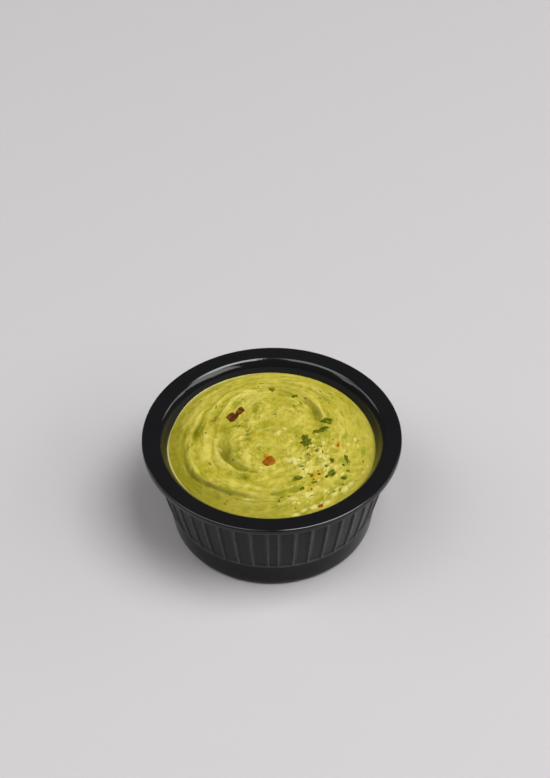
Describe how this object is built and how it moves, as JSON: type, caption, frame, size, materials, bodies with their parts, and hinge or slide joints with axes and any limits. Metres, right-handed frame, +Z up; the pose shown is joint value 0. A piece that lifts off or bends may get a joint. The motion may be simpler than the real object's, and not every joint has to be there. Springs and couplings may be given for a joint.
{
  "type": "guacamole in a ramekin",
  "caption": "Swirled guacamole with chilli bits and herb flecks, filling a small black fluted ramekin with a flat rim and a plain foot band.",
  "frame": {"origin": "on the table, under the middle of the ramekin's foot ring", "axes": "+Z up, -Y to the front, where the narrow flute of the mould seam is, and +X to the right of it"},
  "size_m": [0.0824, 0.0826, 0.035],
  "materials": {
    "ramekin": "black melamine, moulded smooth and glossy, with faint orange peel on the fluted wall",
    "guacamole": "mashed avocado, moist and yellow green, with dark red chilli bits and dark green herb flecks"
  },
  "bodies": {
    "root": {"ramekin": "ramekin", "guacamole": "guacamole"}
  },
  "joints": []
}
